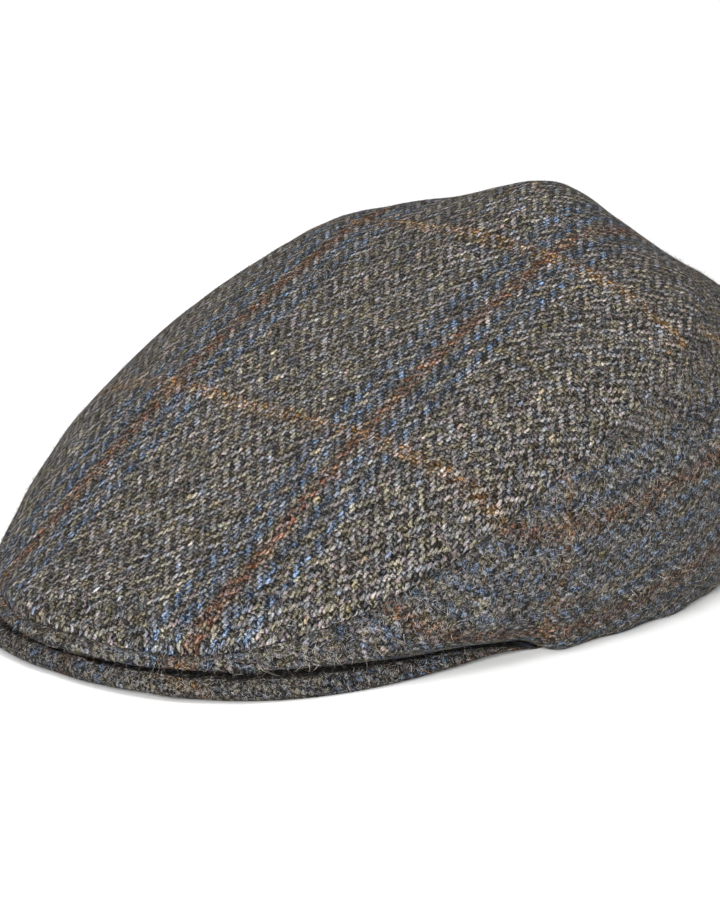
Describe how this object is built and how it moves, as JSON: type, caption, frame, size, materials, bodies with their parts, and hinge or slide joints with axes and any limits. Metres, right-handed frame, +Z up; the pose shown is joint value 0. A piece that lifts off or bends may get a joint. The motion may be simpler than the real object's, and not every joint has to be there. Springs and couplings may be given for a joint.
{
  "type": "touring cap",
  "caption": "Tweed flat cap with an egg-shaped top panel, two side panels round a rim fold, a turned-in hem and a padded peak under the crown's front.",
  "frame": {"origin": "on the surface that the cap rests on, under the middle of its length and width", "axes": "+Z up, -Y the way the peak points, +X to the right when the cap is looked at from its front, which is the wearer's left"},
  "size_m": [0.206, 0.2776, 0.1084],
  "materials": {
    "top_tweed": "woollen herringbone tweed with an overcheck",
    "right_tweed": "woollen herringbone tweed with an overcheck",
    "left_tweed": "woollen herringbone tweed with an overcheck",
    "peak_tweed": "woollen herringbone tweed over a padded board"
  },
  "bodies": {
    "root": {"top_panel": "top_tweed", "side_panel_right": "right_tweed", "side_panel_left": "left_tweed", "peak": "peak_tweed"}
  },
  "joints": []
}
